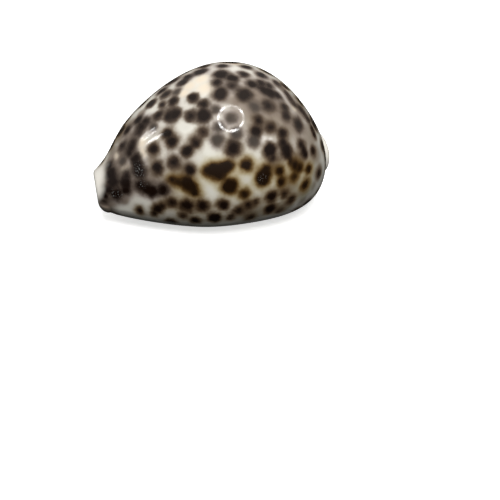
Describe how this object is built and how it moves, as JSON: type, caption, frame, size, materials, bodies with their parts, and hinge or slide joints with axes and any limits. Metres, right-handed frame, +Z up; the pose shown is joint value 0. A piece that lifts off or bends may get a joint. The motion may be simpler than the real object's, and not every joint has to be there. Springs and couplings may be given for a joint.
{
  "type": "cowrie shell",
  "caption": "Egg-shaped glossy cowrie shell, spotted dark brown on cream, hollow, with a toothed slit along its flat base, resting on its two lips.",
  "frame": {"origin": "middle of the shell's footprint, on the plane that its lips rest on", "axes": "+X along the shell from the narrow front tip to the broad back end, +Y towards the outer lip's side, +Z up through the domed back"},
  "size_m": [0.0862, 0.061, 0.05],
  "materials": {
    "glossy_shell": "natural high gloss, dark brown spots on cream, white base and tips"
  },
  "bodies": {
    "root": {"cowrie_shell": "glossy_shell"}
  },
  "joints": []
}
